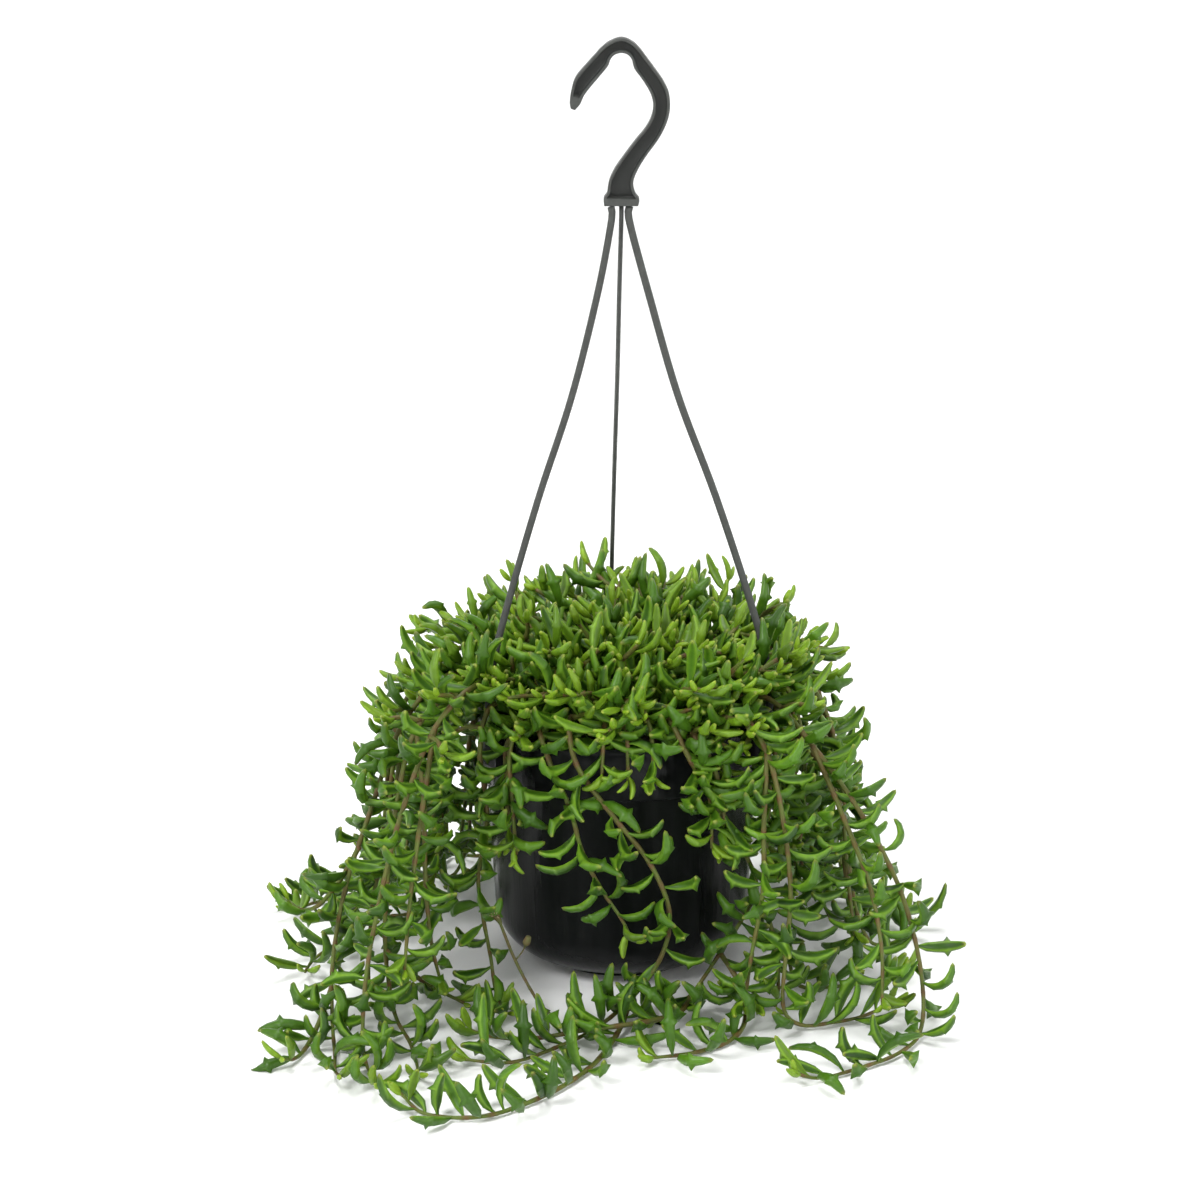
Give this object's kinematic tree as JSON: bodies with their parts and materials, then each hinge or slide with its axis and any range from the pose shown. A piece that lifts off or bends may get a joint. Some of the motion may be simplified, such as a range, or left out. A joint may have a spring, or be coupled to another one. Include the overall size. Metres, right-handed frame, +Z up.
{
  "type": "potted string of dolphins",
  "caption": "Trailing succulent with crescent, finned leaves in a round hanging pot with a three-wire clip-on hanger, standing on its foot with its longest stems on the surface.",
  "frame": {"origin": "centre of the pot's foot, on the underside that it stands on", "axes": "+Z up along the pot's axis, -Y the front, +X to the right; the hook lies in the XZ plane"},
  "size_m": [0.3603, 0.3882, 0.4803],
  "materials": {
    "pot_plastic": "gloss",
    "hanger_plastic": "satin",
    "potting_soil": "matte",
    "plant": "satin",
    "dry_stalk": "matte"
  },
  "bodies": {
    "root": {"flower_stalk": "dry_stalk", "hanger_hook": "hanger_plastic", "hanger_wire_back": "hanger_plastic", "hanger_wire_left": "hanger_plastic", "hanger_wire_right": "hanger_plastic", "pot": "pot_plastic", "shoot_centre_1": "plant", "shoot_centre_2": "plant", "shoot_centre_3": "plant", "shoot_centre_4": "plant", "shoot_edge_1": "plant", "shoot_edge_10": "plant", "shoot_edge_11": "plant", "shoot_edge_2": "plant", "shoot_edge_3": "plant", "shoot_edge_4": "plant", "shoot_edge_5": "plant", "shoot_edge_6": "plant", "shoot_edge_7": "plant", "shoot_edge_8": "plant", "shoot_edge_9": "plant", "shoot_middle_1": "plant", "shoot_middle_2": "plant", "shoot_middle_3": "plant", "shoot_middle_4": "plant", "shoot_middle_5": "plant", "shoot_middle_6": "plant", "shoot_middle_7": "plant", "shoot_middle_8": "plant", "soil": "potting_soil", "stem_front_left": "plant", "stem_front_middle": "plant", "stem_front_right": "plant", "stem_front_sweep": "plant", "stem_left_front": "plant", "stem_left_outer": "plant", "stem_left_tall": "plant", "stem_right_front": "plant", "stem_right_low": "plant", "stem_right_outer": "plant", "stem_skirt_1": "plant", "stem_skirt_10": "plant", "stem_skirt_11": "plant", "stem_skirt_12": "plant", "stem_skirt_13": "plant", "stem_skirt_14": "plant", "stem_skirt_15": "plant", "stem_skirt_2": "plant", "stem_skirt_3": "plant", "stem_skirt_4": "plant", "stem_skirt_5": "plant", "stem_skirt_6": "plant", "stem_skirt_7": "plant", "stem_skirt_8": "plant", "stem_skirt_9": "plant", "stem_spill_1": "plant", "stem_spill_2": "plant", "stem_spill_3": "plant", "stem_spill_4": "plant"}
  },
  "joints": []
}
